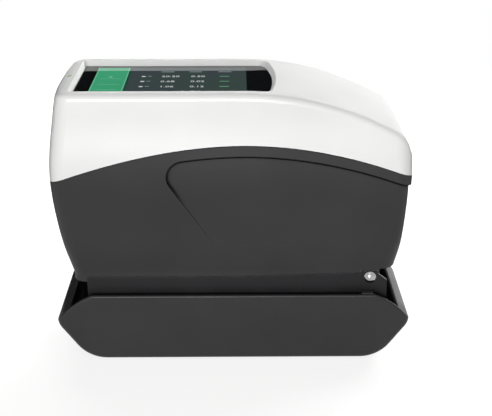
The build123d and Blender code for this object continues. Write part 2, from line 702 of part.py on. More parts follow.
lcd_module.part.label = "lcd_module"
export_step(lcd_module.part, "parts/lcd_module.step")

with BuildPart() as status_light:
    add(discs(level_plane(LIGHT_BOTTOM), [(LIGHT_X, 0)], LIGHT_RADIUS, HEAD_TOP - LIGHT_BOTTOM))
    add(head_outer.part, mode=Mode.INTERSECT)
    add(discs(level_plane(LIGHT_BOTTOM), [(LIGHT_X, 0)], LIGHT_FLANGE, LIGHT_FLANGE_HEIGHT))

status_light.part.label = "status_light"
export_step(status_light.part, "parts/status_light.step")

# Main board under the display, hung from the cover's posts
with BuildPart() as main_board:
    add(block((-MAIN_BOARD_HALF_LENGTH, -MAIN_BOARD_HALF_WIDTH, MAIN_BOARD_LEVEL),
              (MAIN_BOARD_HALF_LENGTH, MAIN_BOARD_HALF_WIDTH, main_board_top)))
    add(discs(level_plane(MAIN_BOARD_LEVEL), board_posts, screw_hole, BOARD), mode=Mode.SUBTRACT)

main_board.part.label = "main_board"
export_step(main_board.part, "parts/main_board.step")

with BuildPart() as board_chips:
    for x, y, size in CHIP_SPOTS:
        half = size / 2
        add(block((x - half, y - half, main_board_top), (x + half, y + half, main_board_top + CHIP_HEIGHT)))

board_chips.part.label = "board_chips"
export_step(board_chips.part, "parts/board_chips.step")

with BuildPart() as board_screws:
    add(screws(level_plane(MAIN_BOARD_LEVEL), board_posts, BOARD + SCREW_BITE - SCREW_TIP_GAP))

board_screws.part.label = "board_screws"
export_step(board_screws.part, "parts/board_screws.step")

with BuildPart() as cover_screws:
    add(screws(level_plane(COVER_LUG_LEVEL), cover_posts, COVER_LUG_HEIGHT + SCREW_BITE - SCREW_TIP_GAP))

cover_screws.part.label = "cover_screws"
export_step(cover_screws.part, "parts/cover_screws.step")

# Lower tub, which closes the head from below and goes down between the cradle's sides
with BuildPart() as rear_lip:
    extrude(head_outline(REAR_CUT_LEVEL + REAR_LIP_GAP, WALL + REAR_LIP_INSET), amount=REAR_LIP_THICKNESS)
    add(block((TUB_REAR - TUB_WALL, -tub_half_width, 0), (HEAD_REAR, tub_half_width, HEAD_TOP)),
        mode=Mode.INTERSECT)

with BuildPart() as lower_tub:
    with BuildSketch(level_plane(TUB_BOTTOM)):
        with Locations(((TUB_FRONT + TUB_REAR) / 2, 0)):
            RectangleRounded(TUB_REAR - TUB_FRONT, 2 * tub_half_width, TUB_CORNER)
    extrude(amount=TUB_TOP - TUB_BOTTOM)
    extrude(head_outline(SEAM_LEVEL, WALL + TUB_FIT), amount=-FLANGE_THICKNESS)
    add(block((TUB_REAR, -HEAD_HALF_WIDTH, 0), (HEAD_REAR, HEAD_HALF_WIDTH, TUB_TOP)), mode=Mode.SUBTRACT)
    add(rear_lip.part)
    with BuildSketch(level_plane(tub_floor_top)):
        with Locations(((TUB_FRONT + TUB_REAR) / 2, 0)):
            RectangleRounded(TUB_REAR - TUB_FRONT - 2 * TUB_WALL, 2 * tub_inner_half_width,
                             TUB_CORNER - TUB_WALL)
    extrude(amount=TUB_TOP - tub_floor_top, mode=Mode.SUBTRACT)
    add(discs(level_plane(NOSE_BOTTOM), optic_axis, NOSE_RADIUS, tub_floor_top - NOSE_BOTTOM))
    add(discs(level_plane(tub_floor_top), optic_axis, LIGHT_WALL_OUTER, LIGHT_BOARD_LEVEL - tub_floor_top))
    add(discs(level_plane(tub_floor_top), optic_axis, LIGHT_WALL_INNER, LIGHT_BOARD_LEVEL - tub_floor_top),
        mode=Mode.SUBTRACT)
    add(discs(level_plane(TUB_BOTTOM), case_posts, CASE_POST_RADIUS, TUB_TOP - TUB_BOTTOM))
    add(discs(level_plane(tub_floor_top), bridge_posts, POST_RADIUS, BRIDGE_LEVEL - tub_floor_top))
    add(discs(level_plane(TUB_BOTTOM), trigger_spot, TRIGGER_BOSS_RADIUS, trigger_boss_top - TUB_BOTTOM))
    for side in (-1, 1):
        reach = sorted((side * (SEAM_HALF_WIDTH - BOSS_LENGTH), side * SEAM_HALF_WIDTH))
        add(hinge_disc(boss_radius, *reach))
    add(hinge_disc(bush_radius, -across, across), mode=Mode.SUBTRACT)
    add(discs(level_plane(NOSE_BOTTOM), optic_axis, NOSE_BORE, TUB_FLOOR + TUB_BOTTOM), mode=Mode.SUBTRACT)
    add(discs(level_plane(tub_floor_top - WINDOW_THICKNESS), optic_axis, WINDOW_RADIUS, WINDOW_THICKNESS),
        mode=Mode.SUBTRACT)
    add(discs(level_plane(TUB_BOTTOM), case_posts, SCREW_HEAD_RADIUS + SCREW_GAP,
              CASE_SEAT_LEVEL - TUB_BOTTOM), mode=Mode.SUBTRACT)
    add(discs(level_plane(TUB_BOTTOM), case_posts, screw_hole, TUB_TOP - TUB_BOTTOM), mode=Mode.SUBTRACT)
    add(discs(level_plane(BRIDGE_LEVEL, -1), bridge_posts, SCREW_RADIUS, SCREW_BITE), mode=Mode.SUBTRACT)
    add(discs(level_plane(LIGHT_BOARD_LEVEL, -1), optics_screw_spots, SCREW_RADIUS,
              LIGHT_BOARD_LEVEL - tub_floor_top), mode=Mode.SUBTRACT)
    add(discs(level_plane(TUB_BOTTOM), trigger_spot, TRIGGER_RADIUS + RUNNING_GAP, trigger_boss_top),
        mode=Mode.SUBTRACT)

lower_tub.part.label = "lower_tub"
export_step(lower_tub.part, "parts/lower_tub.step")

with BuildPart() as case_screws:
    add(screws(level_plane(CASE_SEAT_LEVEL), case_posts,
               TUB_TOP - CASE_SEAT_LEVEL + SCREW_BITE - SCREW_TIP_GAP))

case_screws.part.label = "case_screws"
export_step(case_screws.part, "parts/case_screws.step")

# Hinge
with BuildPart() as hinge_bushes:
    for side in (-1, 1):
        reach = sorted((side * (SEAM_HALF_WIDTH - BOSS_LENGTH), side * SEAM_HALF_WIDTH))
        add(hinge_disc(bush_radius, *reach))
    add(hinge_disc(bush_bore, -across, across), mode=Mode.SUBTRACT)

hinge_bushes.part.label = "hinge_bushes"
export_step(hinge_bushes.part, "parts/hinge_bushes.step")

with BuildPart() as hinge_pin:
    add(hinge_dome(-1))
    add(hinge_disc(PIN_RADIUS, -sheet_outer, sheet_outer))
    add(hinge_disc(PIN_STUB_RADIUS, sheet_outer, sheet_outer + PIN_STUB_LENGTH))

hinge_pin.part.label = "hinge_pin"
export_step(hinge_pin.part, "parts/hinge_pin.step")

with BuildPart() as hinge_cap:
    add(hinge_dome(1))
    add(hinge_disc(PIN_STUB_RADIUS, sheet_outer, sheet_outer + PIN_STUB_LENGTH), mode=Mode.SUBTRACT)

hinge_cap.part.label = "hinge_cap"
export_step(hinge_cap.part, "parts/hinge_cap.step")

# Base tray
with BuildPart() as base_tray:
    with BuildSketch(Plane.XZ) as tray_side:
        with Locations((TRAY_CENTRE, 0)):
            with BuildLine():
                Polyline((-TRAY_HALF_LENGTH, TRAY_RIM * 2), (-TRAY_HALF_LENGTH, TRAY_TIP_LEVEL),
                         (-TRAY_BOTTOM_HALF_LENGTH, TRAY_BOTTOM), (TRAY_BOTTOM_HALF_LENGTH, TRAY_BOTTOM),
                         (TRAY_HALF_LENGTH, TRAY_TIP_LEVEL), (TRAY_HALF_LENGTH, TRAY_RIM * 2), close=True)
            make_face()
        fillet(tray_side.vertices().group_by(Axis.Y)[0], radius=TRAY_BOTTOM_ROUND)
        fillet(tray_side.vertices().filter_by_position(Axis.Y, TRAY_TIP_LEVEL - 1, TRAY_TIP_LEVEL + 1),
               radius=TRAY_TIP_ROUND)
    extrude(amount=tray_half_width, both=True)
    outline_edges = [edge for face in base_tray.faces().filter_by(Axis.Y) for edge in face.edges()
                     if edge.center().Z < TRAY_RIM]
    fillet(outline_edges, radius=TRAY_EDGE_ROUND)
    with BuildSketch(Plane.XZ) as tray_under_rim:
        with BuildLine():
            right = ThreePointArc((TRAY_HALF_LENGTH, TRAY_SHOULDER_END), TRAY_SHOULDER,
                                  (TRAY_RIM_HALF_LENGTH, TRAY_RIM))
            left = mirror(right, about=Plane.YZ)
            Line(right @ 1, left @ 1)
            Polyline(left @ 0, (-TRAY_HALF_LENGTH, 0), (TRAY_HALF_LENGTH, 0), right @ 0)
        make_face()
    extrude(amount=tray_half_width, both=True, mode=Mode.INTERSECT)

    with BuildSketch(Plane.XZ) as tray_cavity:
        with Locations((TRAY_CENTRE, 0)):
            with BuildLine():
                Polyline((-tray_inner_half_length, 2 * TRAY_RIM),
                         (-tray_inner_half_length, TRAY_INNER_TURN_LEVEL),
                         (-TRAY_INNER_BOTTOM_HALF_LENGTH, tray_floor_top),
                         (TRAY_INNER_BOTTOM_HALF_LENGTH, tray_floor_top),
                         (tray_inner_half_length, TRAY_INNER_TURN_LEVEL),
                         (tray_inner_half_length, 2 * TRAY_RIM), close=True)
            make_face()
        fillet(tray_cavity.vertices().group_by(Axis.Y)[0], radius=TRAY_INNER_CORNER)
    extrude(amount=tray_inner_half_width, both=True, mode=Mode.SUBTRACT)
    rim_faces = base_tray.faces().filter_by(lambda face: face.normal_at().Z > 0.3 and face.center().Z > 25)
    fillet(rim_edges(rim_faces), radius=TRAY_RIM_ROUND)
    for side in (-1, 1):
        across_wall = sorted((side * sheet_outer, side * (tray_half_width - TRAY_WALL / 2)))
        add(block((RIM_BLOCK_X[0], across_wall[0], RIM_BLOCK_BOTTOM),
                  (RIM_BLOCK_X[1], across_wall[1], RIM_BLOCK_TOP)))
    add(discs(level_plane(TRAY_BOTTOM), optic_axis, RING_BODY_RADIUS, TRAY_FLOOR), mode=Mode.SUBTRACT)
    add(discs(level_plane(TRAY_BOTTOM), pad_spots, PAD_RADIUS, PAD_RECESS), mode=Mode.SUBTRACT)
    add(discs(level_plane(tray_floor_top, -1), cradle_screw_spots, SCREW_RADIUS, CRADLE_SCREW_BITE),
        mode=Mode.SUBTRACT)

base_tray.part.label = "base_tray"
export_step(base_tray.part, "parts/base_tray.step")

with BuildPart() as foot_pads:
    add(discs(level_plane(0), pad_spots, PAD_RADIUS, TRAY_BOTTOM + PAD_RECESS))

foot_pads.part.label = "foot_pads"
export_step(foot_pads.part, "parts/foot_pads.step")

# Sheet-steel cradle
with BuildPart() as cradle:
    with BuildSketch(Plane(origin=(CRADLE_FRONT, 0, 0), x_dir=(0, 1, 0), z_dir=(1, 0, 0))) as sheet_bend:
        with Locations((0, tray_floor_top)):
            Rectangle(2 * sheet_outer, CRADLE_REAR_TOP, align=(Align.CENTER, Align.MIN))
        fillet(sheet_bend.vertices().group_by(Axis.Y)[0], radius=CRADLE_BEND)
        with BuildSketch(mode=Mode.SUBTRACT) as sheet_inside:
            with Locations((0, cradle_floor_top)):
                Rectangle(2 * sheet_inner, CRADLE_REAR_TOP, align=(Align.CENTER, Align.MIN))
            fillet(sheet_inside.vertices().group_by(Axis.Y)[0], radius=CRADLE_BEND - SHEET)
    extrude(amount=CRADLE_REAR - CRADLE_FRONT)
    with BuildSketch(Plane.XZ):
        with BuildLine():
            Polyline((CRADLE_FRONT, SEAM_LEVEL), (CRADLE_RISE_START, SEAM_LEVEL),
                     (CRADLE_CHAMFER_START, CRADLE_REAR_TOP), (CRADLE_REAR, CRADLE_CHAMFER_END_LEVEL),
                     (CRADLE_REAR, CRADLE_LOW_REAR[1]), (CRADLE_LOW_REAR[0], tray_floor_top),
                     (CRADLE_LOW_FRONT[0], tray_floor_top), (CRADLE_FRONT, CRADLE_LOW_FRONT[1]), close=True)
        make_face()
    extrude(amount=sheet_outer, both=True, mode=Mode.INTERSECT)
    add(hinge_disc(PIN_RADIUS, -sheet_outer, sheet_outer), mode=Mode.SUBTRACT)
    add(discs(level_plane(tray_floor_top), optic_axis, RING_FLANGE_RADIUS + CRADLE_RING_GAP, SHEET),
        mode=Mode.SUBTRACT)
    add(discs(level_plane(tray_floor_top), cradle_screw_spots, screw_hole, SHEET), mode=Mode.SUBTRACT)

cradle.part.label = "cradle"
export_step(cradle.part, "parts/cradle.step")

with BuildPart() as cradle_screws:
    add(screws(level_plane(cradle_floor_top, -1), cradle_screw_spots,
               SHEET + CRADLE_SCREW_BITE - CRADLE_SCREW_TIP_GAP))

cradle_screws.part.label = "cradle_screws"
export_step(cradle_screws.part, "parts/cradle_screws.step")

with BuildPart() as rest_bumpers:
    add(discs(level_plane(cradle_floor_top), mirrored([(x, BUMPER_Y) for x in BUMPER_X]), BUMPER_RADIUS,
              TUB_BOTTOM - REST_GAP - cradle_floor_top))
    fillet(rest_bumpers.edges().group_by(Axis.Z)[-1], radius=BUMPER_ROUND)

rest_bumpers.part.label = "rest_bumpers"
export_step(rest_bumpers.part, "parts/rest_bumpers.step")

with BuildPart() as target_ring:
    add(discs(level_plane(RING_BOTTOM), optic_axis, RING_BODY_RADIUS, tray_floor_top - RING_BOTTOM))
    add(discs(level_plane(tray_floor_top), optic_axis, RING_FLANGE_RADIUS, RING_FLANGE))
    loft([discs(level_plane(RING_BOTTOM), optic_axis, APERTURE_RADIUS, 1).faces().sort_by(Axis.Z)[0],
          discs(level_plane(tray_floor_top + RING_FLANGE), optic_axis, RING_CONE_RADIUS, 1)
          .faces().sort_by(Axis.Z)[0]], mode=Mode.SUBTRACT)

target_ring.part.label = "target_ring"
export_step(target_ring.part, "parts/target_ring.step")

# Optics, from the aperture upwards
with BuildPart() as aperture_window:
    add(discs(level_plane(tub_floor_top - WINDOW_THICKNESS), optic_axis, WINDOW_RADIUS, WINDOW_THICKNESS))

aperture_window.part.label = "aperture_window"
export_step(aperture_window.part, "parts/aperture_window.step")

with BuildPart() as illumination_board:
    add(discs(level_plane(LIGHT_BOARD_LEVEL), optic_axis, LIGHT_WALL_OUTER, LIGHT_BOARD))
    add(discs(level_plane(LIGHT_BOARD_LEVEL), optic_axis, BARREL_RADIUS + BARREL_GAP, LIGHT_BOARD),
        mode=Mode.SUBTRACT)
    add(discs(level_plane(LIGHT_BOARD_LEVEL), optics_screw_spots, screw_hole, LIGHT_BOARD),
        mode=Mode.SUBTRACT)

illumination_board.part.label = "illumination_board"
export_step(illumination_board.part, "parts/illumination_board.step")

with BuildPart() as illumination_leds:
    with BuildSketch(level_plane(LIGHT_BOARD_LEVEL - LED_HEIGHT)):
        with Locations((OPTIC_X, 0)):
            with PolarLocations(LED_CIRCLE, LED_COUNT):
                Rectangle(LED_SIZE, LED_SIZE)
    extrude(amount=LED_HEIGHT)

illumination_leds.part.label = "illumination_leds"
export_step(illumination_leds.part, "parts/illumination_leds.step")

with BuildPart() as optics_barrel:
    add(discs(level_plane(light_board_top), optic_axis, LIGHT_WALL_OUTER, BARREL_FLANGE))
    add(discs(level_plane(light_board_top), optic_axis, BARREL_RADIUS, BARREL_TOP - light_board_top))
    add(discs(level_plane(light_board_top), optic_axis, BARREL_BORE, BARREL_TOP - light_board_top),
        mode=Mode.SUBTRACT)
    add(discs(level_plane(light_board_top), optics_screw_spots, screw_hole, BARREL_FLANGE),
        mode=Mode.SUBTRACT)

optics_barrel.part.label = "optics_barrel"
export_step(optics_barrel.part, "parts/optics_barrel.step")

with BuildPart() as optics_screws:
    add(screws(level_plane(barrel_flange_top, -1), optics_screw_spots,
               barrel_flange_top - tub_floor_top - SCREW_TIP_GAP))

optics_screws.part.label = "optics_screws"
export_step(optics_screws.part, "parts/optics_screws.step")

with BuildPart() as objective_lens:
    add(discs(level_plane(LENS_LEVEL - LENS_BULGE), optic_axis, BARREL_BORE, LENS_THICKNESS + 2 * LENS_BULGE))
    lens_centres = (LENS_LEVEL - LENS_BULGE + lens_radius,
                    LENS_LEVEL + LENS_THICKNESS + LENS_BULGE - lens_radius)
    for height in lens_centres:
        with Locations((OPTIC_X, 0, height)):
            Sphere(lens_radius, rotation=(90, 0, 0), mode=Mode.INTERSECT)

objective_lens.part.label = "objective_lens"
export_step(objective_lens.part, "parts/objective_lens.step")

with BuildPart() as filter_wheel:
    add(discs(level_plane(WHEEL_LEVEL), wheel_axis, WHEEL_RADIUS, WHEEL_THICKNESS))
    add(discs(level_plane(HUB_BOTTOM), wheel_axis, HUB_RADIUS, HUB_TOP - HUB_BOTTOM))
    add(discs(level_plane(HUB_BOTTOM), wheel_axis, SHAFT_RADIUS, HUB_TOP - HUB_BOTTOM), mode=Mode.SUBTRACT)
    add(discs(level_plane(WHEEL_LEVEL), filter_spots, FILTER_OPENING, WHEEL_THICKNESS), mode=Mode.SUBTRACT)
    add(discs(level_plane(filter_seat), filter_spots, FILTER_RADIUS, WHEEL_THICKNESS), mode=Mode.SUBTRACT)

filter_wheel.part.label = "filter_wheel"
export_step(filter_wheel.part, "parts/filter_wheel.step")

with BuildPart() as filter_glasses:
    add(discs(level_plane(filter_seat), filter_spots, FILTER_RADIUS, FILTER_THICKNESS))

filter_glasses.part.label = "filter_glasses"
export_step(filter_glasses.part, "parts/filter_glasses.step")

with BuildPart() as motor_shaft:
    add(discs(level_plane(HUB_BOTTOM), wheel_axis, SHAFT_RADIUS, SHAFT_TOP - HUB_BOTTOM))

motor_shaft.part.label = "motor_shaft"
export_step(motor_shaft.part, "parts/motor_shaft.step")

with BuildPart() as filter_motor:
    add(discs(level_plane(bridge_top), wheel_axis, MOTOR_RADIUS, MOTOR_HEIGHT))
    shaft_depth = SHAFT_TOP + REST_GAP - bridge_top
    add(discs(level_plane(bridge_top), wheel_axis, SHAFT_RADIUS + RUNNING_GAP, shaft_depth),
        mode=Mode.SUBTRACT)

filter_motor.part.label = "filter_motor"
export_step(filter_motor.part, "parts/filter_motor.step")

with BuildPart() as optics_bridge:
    add(block((BRIDGE_FRONT, -BRIDGE_HALF_WIDTH, BRIDGE_LEVEL), (BRIDGE_REAR, BRIDGE_HALF_WIDTH, bridge_top)))
    add(discs(level_plane(bridge_top), standoff_spots, STANDOFF_RADIUS, SENSOR_BOARD_LEVEL - bridge_top))
    add(discs(level_plane(BRIDGE_LEVEL), wheel_axis, SHAFT_RADIUS + BRIDGE_SHAFT_GAP, BRIDGE_THICKNESS),
        mode=Mode.SUBTRACT)
    add(discs(level_plane(BRIDGE_LEVEL), optic_axis, BRIDGE_LIGHT_RADIUS, BRIDGE_THICKNESS),
        mode=Mode.SUBTRACT)
    add(discs(level_plane(BRIDGE_LEVEL), bridge_posts, screw_hole, BRIDGE_THICKNESS), mode=Mode.SUBTRACT)

optics_bridge.part.label = "optics_bridge"
export_step(optics_bridge.part, "parts/optics_bridge.step")

with BuildPart() as bridge_screws:
    add(screws(level_plane(bridge_top, -1), bridge_posts, BRIDGE_THICKNESS + SCREW_BITE - SCREW_TIP_GAP))

bridge_screws.part.label = "bridge_screws"
export_step(bridge_screws.part, "parts/bridge_screws.step")

with BuildPart() as photodiode:
    add(discs(level_plane(bridge_top), optic_axis, DIODE_RADIUS, SENSOR_BOARD_LEVEL - bridge_top))

photodiode.part.label = "photodiode"
export_step(photodiode.part, "parts/photodiode.step")

with BuildPart() as sensor_board:
    add(block((SENSOR_BOARD_FRONT, -SENSOR_BOARD_HALF_WIDTH, SENSOR_BOARD_LEVEL),
              (SENSOR_BOARD_REAR, SENSOR_BOARD_HALF_WIDTH, SENSOR_BOARD_LEVEL + SENSOR_BOARD)))

sensor_board.part.label = "sensor_board"
export_step(sensor_board.part, "parts/sensor_board.step")

# Battery
with BuildPart() as battery_pack:
    length, width, height = BATTERY_SIZE
    add(block((BATTERY_X - length / 2, -width / 2, tub_floor_top),
              (BATTERY_X + length / 2, width / 2, tub_floor_top + height)))
    fillet(battery_pack.edges().filter_by(Axis.Z), radius=BATTERY_ROUND)

battery_pack.part.label = "battery_pack"
export_step(battery_pack.part, "parts/battery_pack.step")

# Trigger that feels the head come down on the base
with BuildPart() as trigger_plunger:
    bottom = cradle_floor_top + REST_GAP
    add(discs(level_plane(bottom), trigger_spot, TRIGGER_RADIUS, trigger_top - bottom))
    add(discs(level_plane(trigger_boss_top + TRIGGER_COLLAR_GAP), trigger_spot, TRIGGER_COLLAR_RADIUS,
              TRIGGER_COLLAR))

trigger_plunger.part.label = "trigger_plunger"
export_step(trigger_plunger.part, "parts/trigger_plunger.step")

with BuildPart() as trigger_switch:
    bottom = trigger_top + TRIGGER_TRAVEL + TRIGGER_SWITCH_GAP
    add(block((TUB_FRONT + TUB_WALL, -TRIGGER_SWITCH_WIDTH / 2, bottom),
              (TRIGGER_SWITCH_REAR, TRIGGER_SWITCH_WIDTH / 2, bottom + TRIGGER_SWITCH_HEIGHT)))

trigger_switch.part.label = "trigger_switch"
export_step(trigger_switch.part, "parts/trigger_switch.step")

# Rear end controls
with BuildPart() as io_board:
    add(block((IO_BOARD_X, -IO_BOARD_HALF_WIDTH, IO_BOARD_BOTTOM),
              (IO_BOARD_X + BOARD, IO_BOARD_HALF_WIDTH, IO_BOARD_TOP)))
    add(discs(io_plane, io_spots, screw_hole, BOARD), mode=Mode.SUBTRACT)

io_board.part.label = "io_board"
export_step(io_board.part, "parts/io_board.step")

with BuildPart() as io_screws:
    add(screws(io_plane, io_spots, BOARD + SCREW_BITE - SCREW_TIP_GAP))

io_screws.part.label = "io_screws"
export_step(io_screws.part, "parts/io_screws.step")

with BuildPart() as power_button:
    flange_back = button_flange_face - BUTTON_FLANGE_THICKNESS
    back_plane = io_plane.offset(flange_back - IO_BOARD_X)
    add(discs(back_plane, button_spot, BUTTON_RADIUS, button_face - flange_back))
    fillet(power_button.edges().group_by(Axis.X)[-1], radius=BUTTON_EDGE_ROUND)
    add(discs(back_plane, button_spot, BUTTON_FLANGE, BUTTON_FLANGE_THICKNESS))

power_button.part.label = "power_button"
export_step(power_button.part, "parts/power_button.step")

with BuildPart() as power_switch:
    nub_reach = flange_back - BUTTON_TRAVEL - SWITCH_GAP - IO_BOARD_X - BOARD
    add(boxes(io_plane.offset(BOARD), button_spot, SWITCH_SIZE, SWITCH_SIZE, SWITCH_HEIGHT))
    add(discs(io_plane.offset(BOARD), button_spot, SWITCH_NUB_RADIUS, nub_reach))

power_switch.part.label = "power_switch"
export_step(power_switch.part, "parts/power_switch.step")

with BuildPart() as usb_socket:
    mouth = io_plane.offset(socket_face - IO_BOARD_X)
    with BuildSketch(mouth):
        with Locations((0, SOCKET_LEVEL)):
            RectangleRounded(SOCKET_WIDTH, SOCKET_HEIGHT, SOCKET_HEIGHT * SOCKET_CORNER_SHARE)
    extrude(amount=IO_BOARD_X + BOARD - socket_face)
    with BuildSketch(mouth):
        with Locations((0, SOCKET_LEVEL)):
            RectangleRounded(SOCKET_WIDTH - 2 * SOCKET_WALL, SOCKET_HEIGHT - 2 * SOCKET_WALL,
                             (SOCKET_HEIGHT - 2 * SOCKET_WALL) * SOCKET_CORNER_SHARE)
    extrude(amount=-SOCKET_DEPTH, mode=Mode.SUBTRACT)
    with BuildSketch(mouth.offset(-SOCKET_DEPTH)):
        with Locations((0, SOCKET_LEVEL)):
            Rectangle(SOCKET_WIDTH * 0.7, SOCKET_TONGUE)
    extrude(amount=SOCKET_DEPTH - SOCKET_SETBACK)

usb_socket.part.label = "usb_socket"
export_step(usb_socket.part, "parts/usb_socket.step")
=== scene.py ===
import json
from math import asin, cos, radians, sin

import bmesh
import bpy
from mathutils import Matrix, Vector


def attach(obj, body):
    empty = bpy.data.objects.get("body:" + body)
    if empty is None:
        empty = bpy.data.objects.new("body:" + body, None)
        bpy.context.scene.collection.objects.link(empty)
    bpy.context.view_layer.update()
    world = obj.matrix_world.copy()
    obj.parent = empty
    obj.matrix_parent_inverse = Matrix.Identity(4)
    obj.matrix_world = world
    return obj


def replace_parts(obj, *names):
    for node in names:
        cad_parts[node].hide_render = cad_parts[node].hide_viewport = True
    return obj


# Lengths are in millimetres until they reach Blender, which takes metres.
MM = 0.001

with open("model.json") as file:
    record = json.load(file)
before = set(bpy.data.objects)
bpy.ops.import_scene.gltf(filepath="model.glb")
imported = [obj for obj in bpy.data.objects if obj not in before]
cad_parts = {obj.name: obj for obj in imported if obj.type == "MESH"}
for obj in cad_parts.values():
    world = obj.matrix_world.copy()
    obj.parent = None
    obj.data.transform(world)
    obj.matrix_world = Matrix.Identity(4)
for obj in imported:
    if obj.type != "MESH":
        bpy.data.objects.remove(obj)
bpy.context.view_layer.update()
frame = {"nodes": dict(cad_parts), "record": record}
nodes = frame["nodes"]

# Materials
CLOUD_SIZE = 45            # patches in which a moulded colour varies slightly
SHEEN_SIZE = 12            # patches in which its roughness varies
SHEEN_SPREAD = 0.03
CREASE_REACH = 3.0         # grooves narrower than this get painted shade
PAINTED_SHADE_LEVEL = 0.05        # how light the painted shade leaves them, as a share of the wall's colour
CREASE_ALL_AT = 0.55       # shares of open space round a point at which the painted shade is full, and none at all
CREASE_NONE_AT = 0.95
CREASE_NONE_BELOW = 88     # heights between which the painted groove shade sets in
CREASE_ALL_ABOVE = 98
BARE_EDGE_AND_HIGHLIGHT_FROM = 40.0       # the cradle's top edge, bare cut metal that is also painted pale as a highlight, is above this
BARE_EDGE_AND_HIGHLIGHT_FULL = 40.2
FACING_UP_FROM = 0.5       # the upward part of a normal from which a face gets the bare metal and painted highlight
FACING_UP_FULL = 0.7
LIT_STRENGTH = 0.85        # of the screen's lit areas

# Hinge pin and its cap
HINGE_X = 71.9
HINGE_Z = 45.5
SHAFT_RADIUS = 2.0
STUB_RADIUS = 1.4
STUB_LENGTH = 1.2
DOME_RADIUS = 3.2
DOME_HEIGHT = 2.0
DOME_RIM = 0.5             # straight part under the dome
DOME_SEAT = 27.0           # outer face of the cradle's side
DOME_STEPS = 10
TURNED_STEPS = 64
SHARP_FROM = 30            # degrees between two faces that meet in a sharp edge

# Screen: the glass, and the edges of the lit areas on it
GLASS_TOP = 145.0
LIT_LIFT = 0.02            # the lit areas lie this far above the glass
LIT_DEPTH_SHARE = 0.8      # their thickness as a share of that
LIT_CORNER_STEPS = 4
LIT_HALF_WIDTH = 27.2
GREEN_FRONT = -71.9
GREEN_REAR = -55.0
GREEN_BORDER = 1.2
TABLE_REAR = 7.1

# Pale lines on the green area
OUTLINE_WIDTH = 0.7
CROSS_LINES = (-18.6, -8.0, 3.5)
CROSS_LINE_WIDTH = 0.45
CROSS_LINE_INSET = 3.0

# Figures, and the bars that stand for words
FIGURE_LIFT = 0.05
FIGURE_DEPTH = 0.01
FIGURE_CURVE_STEPS = 3
FIGURE_SHARE = 0.7         # height of a figure as a share of the font's size
FIGURE_HEIGHT = 3.0
FIRST_COLUMN = -37.2
SECOND_COLUMN = -21.8
FIRST_ROW = 8.3
ROW_STEP = 10.4
ROWS = 3
HEADINGS = ((-38.1, -30.7), (-23.2, -16.1), (-7.9, -0.4))
HEADING_LOW = 17.4
HEADING_HIGH = 18.9
RESULT_AT = (-26.8, -23.4)
RESULT_HEIGHT = 4.8

# Light
AMBIENT = (0.2, 0.08, 0.08)  # strength of the world on the object from the ends, the sides and above
FLOOR_SIZE = 1200
FLOOR_GLOW = 0.78          # the floor's own light where it is seen, near the object
GLOW_RISES_FROM = 200      # distances from the origin between which that light rises to full white
GLOW_FULL_FROM = 500

# Camera at the photograph's angle
CAMERA_AT = (1.25, -551.34, 285.93)
CAMERA_PITCH = 21.0
CAMERA_TURN = 0.587
CAMERA_SENSOR = 36.0
CAMERA_LENS = 80.06
CAMERA_NEAREST = 50
CAMERA_FARTHEST = 20000


def colour(hex_code, level=1.0):
    """A linear colour from a hex code such as 'f0f0ee'."""
    parts = [int(hex_code[i:i + 2], 16) / 255 for i in (0, 2, 4)]
    linear = [part / 12.92 if part <= 0.04045 else ((part + 0.055) / 1.055) ** 2.4 for part in parts]
    return (*[part * level for part in linear], 1.0)


class NodeTree:
    """Makes and joins the nodes of a material or of the world."""

    def __init__(self, tree):
        self.tree = tree

    def node(self, kind, **settings):
        made = self.tree.nodes.new(kind)
        for key, value in settings.items():
            setattr(made, key, value)
        return made

    def feed(self, socket, value):
        """Links value to the socket where it is a node's output, or else sets the socket to it."""
        if isinstance(value, bpy.types.NodeSocket):
            self.tree.links.new(value, socket)
        else:
            socket.default_value = value

    def calculate(self, kind, operation, *values):
        """The outputs of a Math or Vector Math node that works on values."""
        made = self.node(kind, operation=operation)
        for socket, value in zip(made.inputs, values):
            self.feed(socket, value)
        return made.outputs

    def ramp(self, source, low, high, low_at=0.35, high_at=0.65):
        """source turned into a value between low and high."""
        spread = self.node("ShaderNodeMapRange")
        for socket, value in zip(("From Min", "From Max", "To Min", "To Max"), (low_at, high_at, low, high)):
            self.feed(spread.inputs[socket], value)
        self.feed(spread.inputs["Value"], source)
        return spread.outputs["Result"]

    def mix(self, factor, first, second):
        """Two colours mixed by factor."""
        mixed = self.node("ShaderNodeMix", data_type="RGBA")
        for socket, value in zip(("Factor", "A", "B"), (factor, first, second)):
            self.feed(mixed.inputs[socket], value)
        return mixed.outputs["Result"]

    def upward(self, source):
        """The Z part of a place or a direction."""
        parts = self.node("ShaderNodeSeparateXYZ")
        self.feed(parts.inputs[0], source)
        return parts.outputs["Z"]

    def seen_directly(self):
        """1 for a ray from the camera or by way of gloss or glass, otherwise 0."""
        paths = self.node("ShaderNodeLightPath")
        seen = paths.outputs["Is Camera Ray"]
        for name in ("Is Glossy Ray", "Is Transmission Ray"):
            seen = self.calculate("ShaderNodeMath", "MAXIMUM", seen, paths.outputs[name])["Value"]
        return seen


